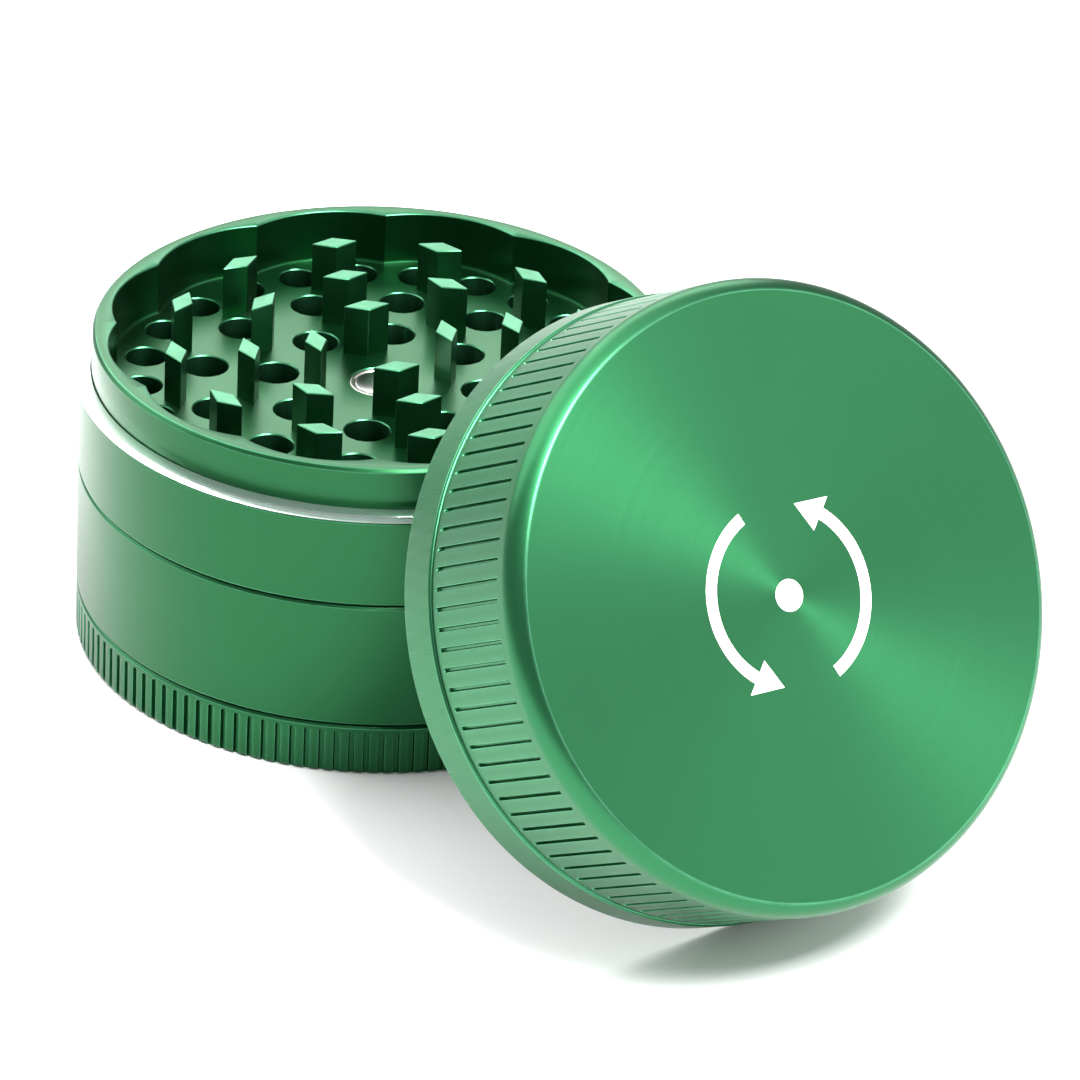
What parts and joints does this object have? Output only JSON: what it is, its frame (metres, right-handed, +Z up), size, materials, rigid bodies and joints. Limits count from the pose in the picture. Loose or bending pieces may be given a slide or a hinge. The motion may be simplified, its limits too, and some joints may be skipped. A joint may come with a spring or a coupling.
{
  "type": "hand grinder",
  "caption": "Round anodised aluminium hand grinder with screw-together chambers, its toothed lid off and standing tilted beside the open teeth.",
  "frame": {"origin": "centre of the foot of the stack, on the surface it stands on", "axes": "+Z up the stack's axis; the lid stands towards +X and -Y"},
  "size_m": [0.0985, 0.1101, 0.0634],
  "materials": {
    "anodised_body": "satin green anodised",
    "anodised_lid": "satin green anodised, finely turned face",
    "clear_polymer": "clear, slightly milky",
    "steel_mesh": "fine woven stainless wire",
    "bare_aluminium": "bright turned",
    "nickel": "nickel plated"
  },
  "bodies": {
    "catcher": {"kief_catcher": "anodised_body"},
    "screen_lift": {"screen_retaining_ring": "bare_aluminium"},
    "screen_section": {"screen_chamber": "anodised_body", "mesh_screen": "steel_mesh"},
    "grinding_lift": {"chamber_magnet_ring": "bare_aluminium"},
    "grinding_section": {"grinding_chamber": "anodised_body", "friction_ring": "clear_polymer"},
    "top_lift": {"chamber_magnet": "nickel"},
    "lid_carrier": {"lid_magnet_ring": "bare_aluminium"},
    "lid_seat": {"lid_magnet": "nickel"},
    "lid_cap": {"lid": "anodised_lid"}
  },
  "joints": [
    {"name": "screen_rise", "type": "slide", "parent": "catcher", "child": "screen_lift", "axis": [0, 0, 1], "range_m": [0, 0.0045]},
    {"name": "screen_turn", "type": "hinge", "parent": "screen_lift", "child": "screen_section", "pos_m": [0, 0, 0], "axis": [0, 0, 1], "range_deg": [0, 1080]},
    {"name": "grinding_rise", "type": "slide", "parent": "screen_section", "child": "grinding_lift", "axis": [0, 0, 1], "range_m": [0, 0.0045]},
    {"name": "grinding_turn", "type": "hinge", "parent": "grinding_lift", "child": "grinding_section", "pos_m": [0, 0, 0], "axis": [0, 0, 1], "range_deg": [0, 1080]},
    {"name": "top_rise", "type": "slide", "parent": "screen_lift", "child": "top_lift", "axis": [0, 0, 1], "range_m": [0, 0.0045]},
    {"name": "lid_swing", "type": "hinge", "parent": "top_lift", "child": "lid_carrier", "pos_m": [0.00985, -0.01386, -0.01393], "axis": [-0.8151, -0.5793, 0], "range_deg": [0, 59.2]},
    {"name": "lid_drop", "type": "slide", "parent": "lid_carrier", "child": "lid_seat", "axis": [-0.4976, 0.7002, -0.512], "range_m": [0, 0.00665]},
    {"name": "lid_turn", "type": "hinge", "parent": "lid_seat", "child": "lid_cap", "pos_m": [0.0303, -0.04263, 0.0269], "axis": [0.4976, -0.7002, 0.512], "continuous": true}
  ],
  "couplings": [
    {"joint": "screen_rise", "follows": "screen_turn", "m_per_rad": 0.00023873},
    {"joint": "grinding_rise", "follows": "grinding_turn", "m_per_rad": 0.00023873},
    {"joint": "top_rise", "follows": "grinding_turn", "m_per_rad": 0.00023873}
  ]
}
